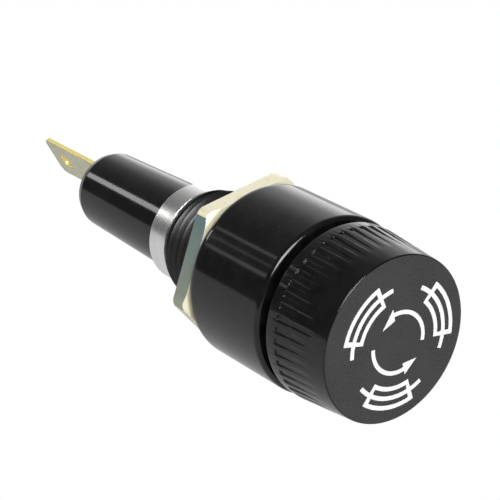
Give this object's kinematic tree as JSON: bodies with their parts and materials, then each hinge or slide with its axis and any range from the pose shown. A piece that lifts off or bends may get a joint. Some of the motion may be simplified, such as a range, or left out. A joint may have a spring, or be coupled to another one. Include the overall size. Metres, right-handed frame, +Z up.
{
  "type": "cartridge fuse holder",
  "caption": "Panel-mounted holder for a cartridge fuse, with a fluted push-and-turn cap, a threaded neck with its nut, a side solder tag and an end solder tab.",
  "frame": {"origin": "on the holder's axis, in the rear face of the collar, where the panel seats", "axes": "+Y along the axis from the knob to the end tab; +Z up as the holder is stored; +X completes the frame"},
  "size_m": [0.019, 0.0614, 0.0184],
  "materials": {
    "black_plastic_cap": "glossy moulded skirt with fine flutes and a satin printed face",
    "black_plastic_body": "glossy moulded phenolic",
    "nickel_brass": "nickel-plated brass, drawn",
    "spring_bronze": "spring bronze, bright",
    "tinned_band": "bright plated brass band",
    "brass": "plain brass",
    "brass_tab": "stamped brass with sheared edges",
    "fibre_board": "punched laminate",
    "nut_plating": "yellow-tinged zinc plating on brass",
    "spring_steel": "drawn spring wire",
    "fuse_cap_nickel": "nickel-plated drawn cap",
    "fuse_glass": "clear glass",
    "solder": "dull solder",
    "fuse_wire": "tinned copper wire",
    "white_print": "pale printed marks on the knob's face"
  },
  "bodies": {
    "holder": {"holder_body": "black_plastic_body", "contact_sleeve": "nickel_brass", "ring_terminal": "tinned_band", "ring_rivet": "brass", "end_plate": "brass", "end_disc": "fibre_board", "end_terminal": "brass_tab", "terminal_rivet": "brass", "contact_spring": "spring_steel"},
    "nut": {"mounting_nut": "nut_plating"},
    "rear_contact": {"rear_contact_cup": "spring_bronze"},
    "cartridge": {"fuse_glass_tube": "fuse_glass", "fuse_front_cap": "fuse_cap_nickel", "fuse_rear_cap": "fuse_cap_nickel", "fuse_element": "fuse_wire", "fuse_front_solder": "solder", "fuse_rear_solder": "solder"},
    "clip": {"fuse_clip": "spring_bronze"},
    "cap": {"knob_shell": "black_plastic_cap", "cap_ferrule": "nickel_brass", "clip_rivet": "nickel_brass"}
  },
  "joints": [
    {"name": "nut_travel", "type": "slide", "parent": "holder", "child": "nut", "axis": [0, 1, 0], "range_m": [0, 0.006]},
    {"name": "cap_push", "type": "slide", "parent": "holder", "child": "rear_contact", "axis": [0, 1, 0], "range_m": [0, 0.0008], "stiffness_N_per_m": 1500, "springref_m": -0.003, "deforming": ["contact_spring"]},
    {"name": "cap_draw", "type": "slide", "parent": "rear_contact", "child": "cartridge", "axis": [0, -1, 0], "range_m": [0, 0.038]},
    {"name": "fuse_pull", "type": "slide", "parent": "cartridge", "child": "clip", "axis": [0, -1, 0], "range_m": [0, 0.009]},
    {"name": "cap_turn", "type": "hinge", "parent": "clip", "child": "cap", "pos_m": [0, -0.0165, 0], "axis": [0, 1, 0], "range_deg": [0, 45]}
  ]
}
